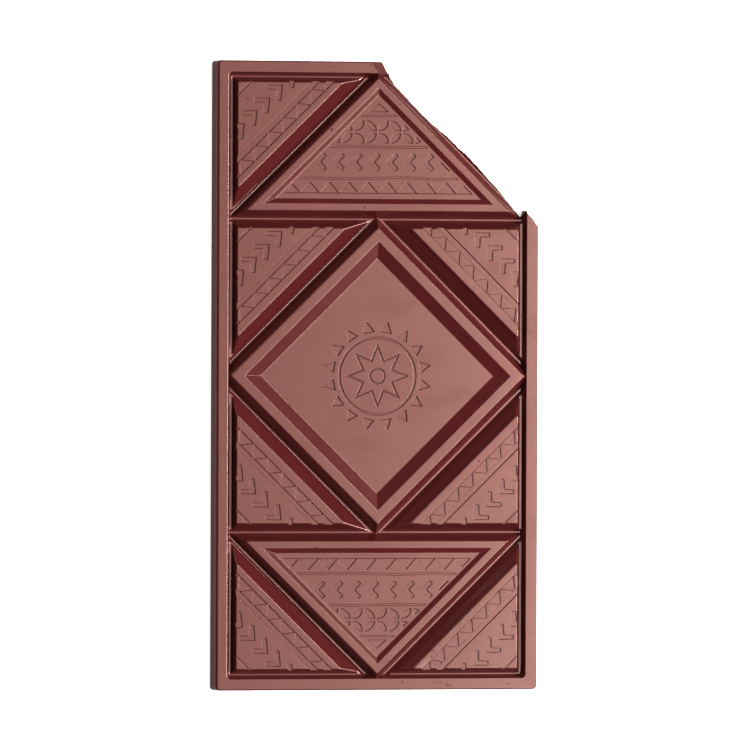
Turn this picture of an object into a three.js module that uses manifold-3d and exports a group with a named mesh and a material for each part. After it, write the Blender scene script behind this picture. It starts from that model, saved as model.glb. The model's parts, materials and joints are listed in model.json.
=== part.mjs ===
// A moulded bar of chocolate, lying face up on its flat back, with one corner snapped off.
// Millimetres, +Z up, X across the bar and +Y along it. The origin is on the surface that the bar
// lies on, under its middle. The face is alike in all four quarters, so its blocks are laid out once,
// in the quarter where x and y are positive, and mirrored into the others.

import * as THREE from 'three';
import { ConvexGeometry } from 'three/addons/geometries/ConvexGeometry.js';
import { mergeVertices } from 'three/addons/utils/BufferGeometryUtils.js';
import Module from 'manifold-3d';

const wasm = await Module();
wasm.setup();

// ---- driving dimensions ----------------------------------------------------------------------

// Levels above the surface that the bar lies on
const BORDER_TOP = 5.0;
const PANEL_TOP = 5.45;
const BREAK_FLOOR = 2.4; // of the grooves that the bar is snapped along
const OVER = 2; // how far every cutter runs past the face

// The bar's outline
const BACK_HALF_WIDTH = 39.5;
const BACK_HALF_LENGTH = 75.15;
const SIDE_SLOPE = 80; // degrees, of the long sides
const END_SLOPE = 85;
const CORNER_RADIUS = 0.9;
const CORNER_STEPS = 4;
const RIM_CHAMFER = 0.3; // round the border's outer edge

// The face. A half width or length is measured at the top edge of a wall. A wall that runs at
// 45 degrees across the bar is given by its crossing: where its top edge would cross either axis.
const BORDER_INNER_HALF_WIDTH = 36.06;
const BORDER_INNER_HALF_LENGTH = 72.27;
const PANEL_HALF_WIDTH = 33.9;
const OUTER_PANEL_END = 70.1;
const MIDDLE_PANEL_END = 35.3;
const OUTER_PANEL_CROSSING = 78.57;
const MIDDLE_PANEL_CROSSING = 43.1;
const TRIANGLE_BASE = 39.3;
const TRIANGLE_CROSSING = 71.3;
const DIAMOND_CROSSING = 35.5;
const BORDER_SLOPE = 64; // degrees, of the walls beside the border
const ROW_SLOPE = { panel: 58, triangle: 60 }; // beside the grooves that run across the bar
const TRIANGLE_SLOPE = 65;
const DIAMOND_SLOPE = 59;
const LONG_SIDE_SLOPE = { outer: 41.5, middle: 43 }; // of the small panels' long sides

// The sunk fields inside the frames of the two triangles and the diamond
const TRIANGLE_FIELD = { base: 41.1, crossing: 68.7, depth: 0.5 };
const DIAMOND_FIELD = { crossing: 32.1, depth: 1.25 };
const TRIANGLE_FIELD_SLOPE = 25;
const DIAMOND_FIELD_SLOPE = 24;

// The relief on the panels
const RELIEF = 0.25;
const EMBLEM_RELIEF = 0.35;
const EDGE_MARGIN = 0.35; // between a small panel's edge and its relief
const FIELD_MARGIN = 0.7; // between a triangle's sunk field and its relief
const MIDDLE_SHIFT = 34.85; // the middle panels' relief is the outer panels', this much nearer

// The corner that is snapped off, from the end of the bar round to its side. The crack follows the
// groove beside the triangle, and leaves a sharp tooth on the border's inner wall.
const CRACK = [
  [1.3, 76.4], [1.4, 74.9], [2.9, 71.9], [4.2, 69.4], [7.4, 66.1], [11.2, 62.0],
  [17.3, 56.7], [22.7, 51.6], [30.3, 43.5], [34.1, 39.1], [34.7, 38.3], [35.2, 38.3],
  [35.9, 39.9], [36.3, 39.0], [37.7, 37.5], [38.5, 36.3], [39.7, 36.0],
];
const CRACK_STEP = 1.4;
const CRACK_ROUGHNESS = 0.14;
const CRACK_LAYERS = 4;
const SEED = 7;
// The end of the border broke away at a slant, from this point on its top
const CHIP = { x: -0.25, y: 73.65, direction: 34, dip: 50, length: 4.6 }; // directions in degrees

// ---- solids ----------------------------------------------------------------------------------

// A closed geometry as a solid that can be joined and cut
function solid(geometry) {
  geometry.deleteAttribute('normal');
  geometry.deleteAttribute('uv');
  const merged = mergeVertices(geometry, 1e-5);
  const index = merged.index.array;
  return new wasm.Manifold(
    new wasm.Mesh({
      numProp: 3,
      vertProperties: new Float32Array(merged.attributes.position.array),
      triVerts: new Uint32Array(index),
    }),
  );
}

// A solid back as a geometry with flat faces
function geometryOf(body) {
  const mesh = body.getMesh();
  const geometry = new THREE.BufferGeometry();
  geometry.setAttribute('position', new THREE.BufferAttribute(mesh.vertProperties, 3));
  geometry.setIndex(new THREE.BufferAttribute(mesh.triVerts, 1));
  return geometry;
}

const join = (solids) => solids.reduce((whole, next) => whole.add(next));
const run = (degrees) => 1 / Math.tan(THREE.MathUtils.degToRad(degrees)); // sideways, for each mm down

// ---- blocks with sloping walls ---------------------------------------------------------------

// One wall: the direction it faces, in degrees from X, how far its top edge is from the origin,
// and how far it spreads outwards for each millimetre down.
const wall = (facing, reach, spread) => ({ facing, reach, spread });
const slanting = (facing, crossing, spread) => wall(facing, crossing * Math.SQRT1_2, spread);

// Where two walls meet, at a distance below their top edges
function meeting(a, b, drop) {
  const [ta, tb] = [a, b].map((side) => THREE.MathUtils.degToRad(side.facing));
  const [ra, rb] = [a, b].map((side) => side.reach + side.spread * drop);
  const turn = Math.sin(tb - ta);
  const x = (ra * Math.sin(tb) - rb * Math.sin(ta)) / turn;
  const y = (rb * Math.cos(ta) - ra * Math.cos(tb)) / turn;
  return [x, y];
}

// A convex block between two levels, from walls in order round it, whose top edges are at `edge`
function block(walls, edge, low, high, [mirrorX, mirrorY] = [1, 1]) {
  const corners = [];
  for (const level of [low, high]) {
    walls.forEach((side, i) => {
      const [x, y] = meeting(side, walls[(i + 1) % walls.length], edge - level);
      corners.push(new THREE.Vector3(mirrorX * x, mirrorY * y, level));
    });
  }
  return solid(new ConvexGeometry(corners));
}

// The corners of a rectangle with round corners, at one level
function roundedRing(halfWidth, halfLength, level) {
  const ring = [];
  for (const [sx, sy, start] of [[1, 1, 0], [-1, 1, 90], [-1, -1, 180], [1, -1, 270]]) {
    for (let step = 0; step <= CORNER_STEPS; step += 1) {
      const angle = THREE.MathUtils.degToRad(start + (90 * step) / CORNER_STEPS);
      const x = sx * (halfWidth - CORNER_RADIUS) + CORNER_RADIUS * Math.cos(angle);
      const y = sy * (halfLength - CORNER_RADIUS) + CORNER_RADIUS * Math.sin(angle);
      ring.push(new THREE.Vector3(x, y, level));
    }
  }
  return ring;
}

// The outer body: the back, the drafted sides and the top of the border, with its edge eased
function outerBody() {
  const shoulder = BORDER_TOP - RIM_CHAMFER;
  const ring = (level, chamfer) =>
    roundedRing(
      BACK_HALF_WIDTH - level * run(SIDE_SLOPE) - chamfer,
      BACK_HALF_LENGTH - level * run(END_SLOPE) - chamfer,
      level,
    );
  const rings = [ring(0, 0), ring(shoulder, 0), ring(BORDER_TOP, RIM_CHAMFER)];
  return solid(new ConvexGeometry(rings.flat()));
}

// The space inside the border. With sloping walls it goes down to the floor of the snapping
// grooves, and with upright ones it is a limit for the panels' feet, down to the back.
function borderInside(spread) {
  const walls = [
    wall(0, BORDER_INNER_HALF_WIDTH, spread),
    wall(90, BORDER_INNER_HALF_LENGTH, spread),
    wall(180, BORDER_INNER_HALF_WIDTH, spread),
    wall(270, BORDER_INNER_HALF_LENGTH, spread),
  ];
  return block(walls, BORDER_TOP, spread === 0 ? 0 : BREAK_FLOOR, PANEL_TOP + OVER);
}

// ---- the raised blocks of the face -----------------------------------------------------------

const QUARTERS = [[1, 1], [-1, 1], [-1, -1], [1, -1]];
const PANEL_FOOT = BREAK_FLOOR - 1; // the panels run into the body below the grooves

function outerPanel(quarter) {
  const walls = [
    wall(0, PANEL_HALF_WIDTH, run(BORDER_SLOPE)),
    wall(90, OUTER_PANEL_END, run(BORDER_SLOPE)),
    slanting(225, -OUTER_PANEL_CROSSING, run(LONG_SIDE_SLOPE.outer)),
  ];
  return block(walls, PANEL_TOP, PANEL_FOOT, PANEL_TOP, quarter);
}

function middlePanel(quarter) {
  const walls = [
    wall(0, PANEL_HALF_WIDTH, run(BORDER_SLOPE)),
    wall(90, MIDDLE_PANEL_END, run(ROW_SLOPE.panel)),
    slanting(225, -MIDDLE_PANEL_CROSSING, run(LONG_SIDE_SLOPE.middle)),
  ];
  return block(walls, PANEL_TOP, PANEL_FOOT, PANEL_TOP, quarter);
}

// A triangle's base faces the middle of the bar, and its point the end
function trianglePanel(end) {
  const walls = [
    slanting(45, TRIANGLE_CROSSING, run(TRIANGLE_SLOPE)),
    slanting(135, TRIANGLE_CROSSING, run(TRIANGLE_SLOPE)),
    wall(270, -TRIANGLE_BASE, run(ROW_SLOPE.triangle)),
  ];
  return block(walls, PANEL_TOP, PANEL_FOOT, PANEL_TOP, [1, end]);
}

function triangleField(end) {
  const { base, crossing, depth } = TRIANGLE_FIELD;
  const spread = -run(TRIANGLE_FIELD_SLOPE);
  const walls = [slanting(45, crossing, spread), slanting(135, crossing, spread), wall(270, -base, spread)];
  return block(walls, PANEL_TOP, PANEL_TOP - depth, PANEL_TOP + OVER, [1, end]);
}

const diamondWalls = (crossing, spread) =>
  [45, 135, 225, 315].map((facing) => slanting(facing, crossing, spread));

const diamondPanel = () =>
  block(diamondWalls(DIAMOND_CROSSING, run(DIAMOND_SLOPE)), PANEL_TOP, PANEL_FOOT, PANEL_TOP);

const diamondField = () =>
  block(
    diamondWalls(DIAMOND_FIELD.crossing, -run(DIAMOND_FIELD_SLOPE)),
    PANEL_TOP,
    PANEL_TOP - DIAMOND_FIELD.depth,
    PANEL_TOP + OVER,
  );

// ---- the relief: flat figures sunk into the panels -------------------------------------------

// A sunk figure, from an outline whose corners are given as x and y
function sunk(outline, floor, [mirrorX, mirrorY] = [1, 1]) {
  const points = outline.map(([x, y]) => new THREE.Vector2(mirrorX * x, mirrorY * y));
  const geometry = new THREE.ExtrudeGeometry(new THREE.Shape(points), {
    depth: PANEL_TOP + OVER - floor,
    bevelEnabled: false,
  });
  return solid(geometry.translate(0, 0, floor));
}

// A stripe that runs at 45 degrees between two crossings, long enough to pass over a whole panel
function stripe(inner, outer, floor, quarter) {
  const ends = [[0, inner], [0, outer], [outer, 0], [inner, 0]];
  return sunk(ends, floor, quarter);
}

// Along a small panel's long side runs a sunk band, and raised teeth stand in it. A tooth's base
// is parallel to the band, and its point is towards the long side.
const BAND = { inner: 80.7, outer: 86.4 };
const CORNER_STRIPE = { inner: 100.4, outer: 101.2 };
const TOOTH = { crossing: 84.2, first: -8.44, pitch: 4.78, base: 3.8, height: 2.3, count: 7 };

function tooth(number, floor, quarter) {
  const across = TOOTH.crossing * Math.SQRT1_2;
  const start = TOOTH.first - TOOTH.pitch * number;
  const places = [
    [start, across],
    [start - TOOTH.base, across],
    [start - TOOTH.base / 2, across - TOOTH.height],
  ];
  const corners = places.map(([along, out]) => [
    (out + along) * Math.SQRT1_2,
    (out - along) * Math.SQRT1_2,
  ]);
  return sunk(corners, floor, quarter);
}

// A row of angle hooks, each with its outer corner towards the end of the bar
const HOOK = { x: 20.05, y: 72.5, stepX: 3.05, stepY: -3.1, count: 5, size: 4.0, thickness: 1.4 };

function hook(number, floor, quarter) {
  const { size, thickness } = HOOK;
  const x = HOOK.x + HOOK.stepX * number;
  const y = HOOK.y + HOOK.stepY * number;
  const corners = [
    [x, y], [x + size, y - 0.1], [x + size, y - thickness + 0.1],
    [x + thickness + 0.3, y - thickness], [x + thickness + 0.2, y - size + 0.1], [x + 0.4, y - size],
  ];
  return sunk(corners, floor, quarter);
}

// A right-angled field with its relief kept clear of its edges
function smallPanelRelief(quarter, end, crossing, shift) {
  const floor = PANEL_TOP - RELIEF;
  const series = (count, make) => Array.from({ length: count }, (_, i) => make(i, floor, [1, 1]));
  const band = stripe(BAND.inner, BAND.outer, floor, [1, 1]);
  const teeth = join(series(TOOTH.count, tooth));
  const hooks = join(series(HOOK.count, hook));
  const corner = stripe(CORNER_STRIPE.inner, CORNER_STRIPE.outer, floor, [1, 1]);
  const figures = join([band.subtract(teeth), hooks, corner]);

  const inX = PANEL_HALF_WIDTH - EDGE_MARGIN;
  const inY = end + shift - EDGE_MARGIN;
  const inCrossing = crossing + shift + EDGE_MARGIN;
  const field = [[inX, inY], [inCrossing - inY, inY], [inX, inCrossing - inX]];
  const clipped = figures.intersect(sunk(field, floor));
  const placed = new THREE.Matrix4().makeTranslation(0, -shift, 0);
  const mirrored = new THREE.Matrix4().makeScale(quarter[0], quarter[1], 1);
  return clipped.transform(mirrored.multiply(placed).elements);
}

// The triangle's relief lies in rows across the bar, from its base to its point
const ROW_SAW = { spine: 43.45, root: 43.8, point: 46.5, pitch: 4.7, first: -21.2, count: 10 };
const ROW_LINES = [[46.8, 47.5], [54.4, 55.1], [61.75, 62.4]];
const ROW_ARROWS = { y: 51.05, tip: -19.9, pitch: 4.33, count: 8, width: 1.8, arm: 2.35 };
const ROW_ROUNDS = { y: 58.25, x: -9.1, pitch: 5.8, count: 4, radius: 2.8, middle: 1.15, gap: 7 };
const TIP_TRIANGLE = { base: 62.9, point: 65.3, half: 2.7 };
const ROW_REACH = 30; // a row runs past the field, and is cut off by it

// A row of teeth on a thin spine
function sawRow(floor) {
  const { spine, root, point, pitch, first, count } = ROW_SAW;
  const corners = [[-ROW_REACH, spine], [-ROW_REACH, root]];
  for (let i = 0; i < count; i += 1) {
    const x = first + pitch * i;
    corners.push([x - pitch / 2, root], [x, point]);
  }
  corners.push([first + pitch * (count - 0.5), root], [ROW_REACH, root], [ROW_REACH, spine]);
  return sunk(corners, floor);
}

function arrow(number, floor) {
  const { y, tip, pitch, width, arm } = ROW_ARROWS;
  const x = tip + pitch * number;
  const corners = [
    [x, y], [x + arm, y - arm], [x + arm + width / 2, y - arm + width / 2],
    [x + width, y], [x + arm + width / 2, y + arm - width / 2], [x + arm, y + arm],
  ];
  return sunk(corners, floor);
}

// A round is four petals, between the quarters of a circle and a star with hollow sides
function round(number, floor) {
  const { y, x, pitch, radius, middle, gap } = ROW_ROUNDS;
  const petals = [0, 90, 180, 270].map((turn) => {
    const [from, to] = [turn + gap, turn + 90 - gap].map(THREE.MathUtils.degToRad);
    const half = (from + to) / 2;
    const shape = new THREE.Shape();
    shape.absarc(0, 0, radius, from, to, false);
    const pull = 2 * middle - radius * Math.cos((to - from) / 2);
    const start = [radius * Math.cos(from), radius * Math.sin(from)];
    shape.quadraticCurveTo(pull * Math.cos(half), pull * Math.sin(half), ...start);
    const outline = shape.getPoints(5).map((point) => [x + pitch * number + point.x, y + point.y]);
    return sunk(outline, floor);
  });
  return join(petals);
}

function triangleRelief(end) {
  const floor = PANEL_TOP - TRIANGLE_FIELD.depth - RELIEF;
  const series = (count, make) => Array.from({ length: count }, (_, i) => make(i, floor));
  const lines = ROW_LINES.map(([low, high]) =>
    sunk([[-ROW_REACH, low], [ROW_REACH, low], [ROW_REACH, high], [-ROW_REACH, high]], floor));
  const { base, point, half } = TIP_TRIANGLE;
  const figures = join([
    sawRow(floor),
    ...lines,
    ...series(ROW_ARROWS.count, arrow),
    ...series(ROW_ROUNDS.count, round),
    sunk([[-half, base], [half, base], [0, point]], floor),
  ]);
  const reach = TRIANGLE_FIELD.depth * run(TRIANGLE_FIELD_SLOPE);
  const low = TRIANGLE_FIELD.base + reach + 0.1;
  const top = TRIANGLE_FIELD.crossing - reach * Math.SQRT2 - FIELD_MARGIN;
  const field = sunk([[0, top], [low - top, low], [top - low, low]], floor);
  const mirrored = new THREE.Matrix4().makeScale(1, end, 1);
  return figures.intersect(field).transform(mirrored.elements);
}

// The emblem in the diamond: a star in a ring, inside a wreath of rays
const EMBLEM = { rays: 16, rayFoot: 10.4, rayTip: 13.4, rayHalf: 1.6, ring: [8.9, 9.5], line: 0.5 };
const STAR = { points: 8, tip: 8.0, notch: 4.2 };
const HUB = [1.5, 2.0];

// A ring-shaped groove
function ringGroove([inner, outer], floor) {
  const shape = new THREE.Shape().absarc(0, 0, outer, 0, 2 * Math.PI, false);
  shape.holes.push(new THREE.Path().absarc(0, 0, inner, 0, 2 * Math.PI, true));
  const geometry = new THREE.ExtrudeGeometry(shape, {
    depth: PANEL_TOP + OVER - floor,
    bevelEnabled: false,
    curveSegments: 24,
  });
  return solid(geometry.translate(0, 0, floor));
}

function starOutline(tip, notch) {
  const corners = [];
  for (let i = 0; i < 2 * STAR.points; i += 1) {
    const radius = i % 2 === 0 ? tip : notch;
    const angle = Math.PI / 2 + (Math.PI * i) / STAR.points;
    corners.push([radius * Math.cos(angle), radius * Math.sin(angle)]);
  }
  return corners;
}

function emblem() {
  const floor = PANEL_TOP - DIAMOND_FIELD.depth - EMBLEM_RELIEF;
  const rays = [];
  for (let i = 0; i < EMBLEM.rays; i += 1) {
    const turn = (2 * Math.PI * (i + 0.5)) / EMBLEM.rays;
    const corners = [
      [EMBLEM.rayFoot, -EMBLEM.rayHalf], [EMBLEM.rayTip, 0], [EMBLEM.rayFoot, EMBLEM.rayHalf],
    ];
    const turned = corners.map(([out, side]) => [
      out * Math.cos(turn) - side * Math.sin(turn),
      out * Math.sin(turn) + side * Math.cos(turn),
    ]);
    rays.push(sunk(turned, floor));
  }
  const star = sunk(starOutline(STAR.tip, STAR.notch), floor);
  const inside = sunk(starOutline(STAR.tip - 2.2 * EMBLEM.line, STAR.notch - EMBLEM.line), floor);
  return join([...rays, ringGroove(EMBLEM.ring, floor), star.subtract(inside), ringGroove(HUB, floor)]);
}

// ---- the broken corner -----------------------------------------------------------------------

// Numbers between -1 and 1 that are the same on every run
function roughness(seed) {
  let state = seed;
  return () => {
    state = (state * 16807) % 2147483647;
    return (2 * state) / 2147483647 - 1;
  };
}

// The piece that is gone, with a rough face along the crack
function lostCorner() {
  const noise = roughness(SEED);
  const crack = [];
  for (let i = 0; i + 1 < CRACK.length; i += 1) {
    const [x0, y0] = CRACK[i];
    const [x1, y1] = CRACK[i + 1];
    const parts = Math.max(1, Math.round(Math.hypot(x1 - x0, y1 - y0) / CRACK_STEP));
    for (let part = 0; part < parts; part += 1) {
      const along = part / parts;
      crack.push(new THREE.Vector2(x0 + (x1 - x0) * along, y0 + (y1 - y0) * along));
    }
  }
  crack.push(new THREE.Vector2(...CRACK.at(-1)));
  const beyond = [[BACK_HALF_WIDTH + OVER, CRACK.at(-1)[1]],
    [BACK_HALF_WIDTH + OVER, BACK_HALF_LENGTH + OVER], [CRACK[0][0], BACK_HALF_LENGTH + OVER]];
  const shape = new THREE.Shape([...crack, ...beyond.map((point) => new THREE.Vector2(...point))]);
  const geometry = new THREE.ExtrudeGeometry(shape, {
    depth: PANEL_TOP + 2 * OVER,
    steps: CRACK_LAYERS,
    bevelEnabled: false,
  }).translate(0, 0, -OVER);
  geometry.deleteAttribute('normal');
  geometry.deleteAttribute('uv');
  const merged = mergeVertices(geometry, 1e-5);
  const position = merged.attributes.position;
  for (let i = 0; i < position.count; i += 1) {
    position.setX(i, position.getX(i) + CRACK_ROUGHNESS * noise());
    position.setY(i, position.getY(i) + CRACK_ROUGHNESS * noise());
  }
  return solid(merged);
}

// The slanting face where the end of the border broke away
function chippedBorder() {
  const { x, y, direction, dip, length } = CHIP;
  const size = 8;
  const geometry = new THREE.BoxGeometry(size, length, size).translate(size / 2, 0, size / 2);
  geometry.rotateY(THREE.MathUtils.degToRad(dip));
  geometry.rotateZ(THREE.MathUtils.degToRad(direction));
  return solid(geometry.translate(x, y, BORDER_TOP));
}

// ---- the bar ---------------------------------------------------------------------------------

const tray = outerBody().subtract(borderInside(-run(BORDER_SLOPE)));
const panels = join([
  ...QUARTERS.map(middlePanel),
  ...QUARTERS.map(outerPanel),
  trianglePanel(1),
  trianglePanel(-1),
  diamondPanel(),
]);
const fields = join([triangleField(1), triangleField(-1), diamondField()]);
const reliefs = join([
  ...QUARTERS.map((quarter) =>
    smallPanelRelief(quarter, MIDDLE_PANEL_END, MIDDLE_PANEL_CROSSING, MIDDLE_SHIFT)),
  ...QUARTERS.map((quarter) =>
    smallPanelRelief(quarter, OUTER_PANEL_END, OUTER_PANEL_CROSSING, 0)),
  triangleRelief(1),
  triangleRelief(-1),
  emblem(),
]);
const whole = tray.add(panels.intersect(borderInside(0))).subtract(fields).subtract(reliefs);
const bar = whole.subtract(lostCorner()).subtract(chippedBorder());

const chocolate = new THREE.MeshStandardMaterial({ color: 0x4a2320, roughness: 0.32, metalness: 0 });
const chocolateBar = new THREE.Mesh(geometryOf(bar), chocolate);
chocolateBar.name = 'chocolate_bar';
chocolateBar.material.name = 'dark_chocolate';

const model = new THREE.Group();
model.add(chocolateBar);
export default model;
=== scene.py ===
# %% [markdown]
# # A moulded chocolate bar with one corner snapped off
#
# The bar is one cast piece of dark chocolate. Its face has a raised border, right-angled small
# panels, two framed triangles and a framed diamond, and the deep grooves between them are where it
# is meant to be snapped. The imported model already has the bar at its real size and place, so this
# script makes the same bar again with the softened edges, the tapered relief, the broken faces and
# the finish of real chocolate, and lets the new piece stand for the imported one.

import json
import math
import random

import bmesh
import bpy
from mathutils import Matrix, Vector, noise

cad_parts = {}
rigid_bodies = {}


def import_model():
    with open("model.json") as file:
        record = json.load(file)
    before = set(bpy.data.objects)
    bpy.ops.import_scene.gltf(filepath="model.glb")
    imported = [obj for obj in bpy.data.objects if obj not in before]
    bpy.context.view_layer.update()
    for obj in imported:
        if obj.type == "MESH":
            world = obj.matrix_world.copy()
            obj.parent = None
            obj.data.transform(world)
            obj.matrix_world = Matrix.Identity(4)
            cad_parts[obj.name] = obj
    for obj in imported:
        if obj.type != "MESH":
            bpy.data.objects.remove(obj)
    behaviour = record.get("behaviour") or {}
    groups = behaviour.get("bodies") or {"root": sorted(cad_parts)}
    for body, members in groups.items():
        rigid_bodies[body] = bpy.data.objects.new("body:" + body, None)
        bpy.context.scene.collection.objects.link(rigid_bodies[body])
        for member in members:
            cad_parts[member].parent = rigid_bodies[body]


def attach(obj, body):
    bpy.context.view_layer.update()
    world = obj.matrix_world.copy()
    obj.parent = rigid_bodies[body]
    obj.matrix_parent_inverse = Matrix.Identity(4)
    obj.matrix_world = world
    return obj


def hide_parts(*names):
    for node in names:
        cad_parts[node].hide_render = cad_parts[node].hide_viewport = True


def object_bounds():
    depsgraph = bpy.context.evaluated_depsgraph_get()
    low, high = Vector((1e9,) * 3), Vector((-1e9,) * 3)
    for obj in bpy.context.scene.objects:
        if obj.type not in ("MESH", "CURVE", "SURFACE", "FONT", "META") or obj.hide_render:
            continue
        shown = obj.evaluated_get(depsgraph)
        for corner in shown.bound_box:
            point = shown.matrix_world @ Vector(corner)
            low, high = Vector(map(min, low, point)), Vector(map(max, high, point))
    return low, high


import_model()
cad_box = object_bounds()
print("packed bar, lowest and highest corner:", [tuple(round(v, 5) for v in c) for c in cad_box])

# %% [markdown]
# ## Millimetres
#
# Blender's unit here is the metre, but a mould is drawn in millimetres, and bevels and cuts a few
# hundredths of a millimetre wide work best on numbers of that size. So the bar is modelled in
# millimetres, and its mesh is scaled once, at the end. Levels are heights above the surface that
# the bar lies on.

# %% The levels of the face
MM = 0.001
BORDER_TOP = 5.0
PANEL_TOP = 5.45
SNAP_FLOOR = 2.32  # of the grooves that the bar is snapped along, before their edges are rounded
EDGE_FLOOR = 2.87  # of the groove inside the border, beside the small panels
ABOVE = 2.0  # how far a cutter stands clear of the face
ROOM = 220.0  # a block's size before its walls are cut, larger than the bar

# %% [markdown]
# ## A block from its walls
#
# Every raised part of the face is a block with flat top and sloping walls, because a cast bar must
# slip out of its mould. Such a block could be extruded from an outline and tapered, but then its
# corners have to be worked out by hand. It is simpler to start from a big box and slice one wall
# after another off it with a plane: the corners then come out by themselves, whatever the slopes.
# A wall is given by the direction that it faces, how far out its top edge is, and how far it
# spreads for each millimetre down. A wall with a negative spread leans the other way, which is
# what a cutter for a sunk figure needs.

# %% Slicing walls off a block
ON_THE_PLANE = 1e-5  # how near a vertex counts as lying on a cutting plane


def wall(facing, reach, spread):
    """A wall that faces `facing` degrees from X, with its top edge `reach` from the middle."""
    return facing, reach, spread


def slanting(facing, crossing, spread):
    """A wall at 45 degrees across the bar, given by where its top edge crosses either axis."""
    return wall(facing, crossing * math.sqrt(0.5), spread)


def run_for(run, drop):
    """The spread of a wall that runs `run` outwards while it drops `drop`."""
    return run / drop


def slice_off(bm, facing, reach, spread, level):
    """Cuts away what lies outside one wall, and closes the cut."""
    angle = math.radians(facing)
    out = Vector((math.cos(angle), math.sin(angle), 0))
    cut = bmesh.ops.bisect_plane(
        bm,
        geom=[*bm.verts, *bm.edges, *bm.faces],
        dist=ON_THE_PLANE,
        plane_co=out * reach + Vector((0, 0, level)),
        plane_no=out + Vector((0, 0, spread)),
        clear_outer=True,
    )
    rim = [part for part in cut["geom_cut"] if isinstance(part, bmesh.types.BMEdge)]
    if rim:
        bmesh.ops.contextual_create(bm, geom=rim)


def block(walls, level, low, high):
    """A bmesh between two levels, inside walls whose top edges are at `level`."""
    bm = bmesh.new()
    bmesh.ops.create_cube(bm, size=1)
    bmesh.ops.scale(bm, vec=(ROOM, ROOM, high - low), verts=bm.verts)
    bmesh.ops.translate(bm, vec=(0, 0, (low + high) / 2), verts=bm.verts)
    for facing, reach, spread in walls:
        slice_off(bm, facing, reach, spread, level)
    return bm


def mirrored(bm, quarter):
    """Flips a bmesh into another quarter of the bar, and turns its faces outwards again."""
    bmesh.ops.scale(bm, vec=(*quarter, 1), verts=bm.verts)
    bmesh.ops.recalc_face_normals(bm, faces=bm.faces)
    return bm


# %% Objects and collections
def as_object(name, bm, collection=None):
    """Turns a bmesh into an object."""
    mesh = bpy.data.meshes.new(name)
    bm.to_mesh(mesh)
    bm.free()
    piece = bpy.data.objects.new(name, mesh)
    (collection or bpy.context.scene.collection).objects.link(piece)
    return piece


def new_collection(name):
    collection = bpy.data.collections.new(name)
    bpy.context.scene.collection.children.link(collection)
    return collection


def use_up(piece, collection, operation):
    """Joins a whole collection to a piece, or cuts it away, and removes the collection."""
    boolean = piece.modifiers.new(operation.lower(), "BOOLEAN")
    boolean.operation = operation
    boolean.solver = "MANIFOLD"
    boolean.operand_type = "COLLECTION"
    boolean.collection = collection
    bpy.context.view_layer.objects.active = piece
    bpy.ops.object.modifier_apply(modifier=boolean.name)
    for tool in list(collection.objects):
        mesh = tool.data
        bpy.data.objects.remove(tool)
        bpy.data.meshes.remove(mesh)
    bpy.data.collections.remove(collection)


def edit(piece, change, *values):
    """Runs a function on a piece's mesh as a bmesh."""
    bm = bmesh.new()
    bm.from_mesh(piece.data)
    result = change(bm, *values)
    bm.to_mesh(piece.data)
    bm.free()
    return result


# %% [markdown]
# ## The body and the space inside its border
#
# The border is what is left of the bar's body once a pocket is cut into it. Body and pocket are
# both blocks whose upright corners are rounded by a bevel. The body's sides lean a little, so that
# the widest place is at the back, where the liquid chocolate was scraped level with the mould. The
# long sides lean more than the short ends, so each wall has its own run.

# %% Body and pocket
RUNS = {0: 0.66, 90: 0.12, 180: 0.78, 270: 0.12}  # how far each wall leans out, by where it faces
BACK_HALF_WIDTH = cad_box[1].x / MM
BACK_HALF_LENGTH = cad_box[1].y / MM
POCKET_HALF_WIDTH = 36.06
POCKET_HALF_LENGTH = 72.27
POCKET_SPREAD = -run_for(0.65, BORDER_TOP - EDGE_FLOOR)


def round_upright_edges(bm, radius, segments):
    upright = [e for e in bm.edges if abs(e.verts[0].co.z - e.verts[1].co.z) > 1]
    bmesh.ops.bevel(
        bm,
        geom=upright,
        offset=radius,
        offset_type="OFFSET",
        segments=segments,
        profile=0.5,
        affect="EDGES",
        clamp_overlap=False,
        material=-1,
    )


def half_size(facing, half_width, half_length):
    return half_width if facing in (0, 180) else half_length


body_walls = [
    wall(facing, half_size(facing, BACK_HALF_WIDTH, BACK_HALF_LENGTH) - run, run_for(run, BORDER_TOP))
    for facing, run in RUNS.items()
]
body = block(body_walls, BORDER_TOP, 0, BORDER_TOP)
round_upright_edges(body, radius=0.9, segments=5)
bar = as_object("moulded_bar", body)
finishes = [bpy.data.materials.new(name) for name in ("moulded_face", "fracture", "poured_back")]
moulded_face, fracture, poured_back = finishes
for finish in finishes:
    bar.data.materials.append(finish)

pocket_walls = [
    wall(facing, half_size(facing, POCKET_HALF_WIDTH, POCKET_HALF_LENGTH), POCKET_SPREAD)
    for facing in RUNS
]
pocket = block(pocket_walls, BORDER_TOP, SNAP_FLOOR, PANEL_TOP + ABOVE)
round_upright_edges(pocket, radius=0.75, segments=4)
hollows = new_collection("hollows")
as_object("pocket", pocket, hollows)
use_up(bar, hollows, "DIFFERENCE")
print("body with its pocket:", len(bar.data.polygons), "faces")

# %% [markdown]
# ## The raised panels
#
# The face is alike in all four quarters, so each small panel is laid out once, where X and Y are
# positive, and mirrored. Under each small panel is a low plinth that fills the groove beside the
# border, which is why that groove is less deep than the ones made for snapping. The frames of the
# triangles and of the diamond are made by insetting the top face twice: the first inset leaves the
# flat frame, and the second one sinks the field inside it.

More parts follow.
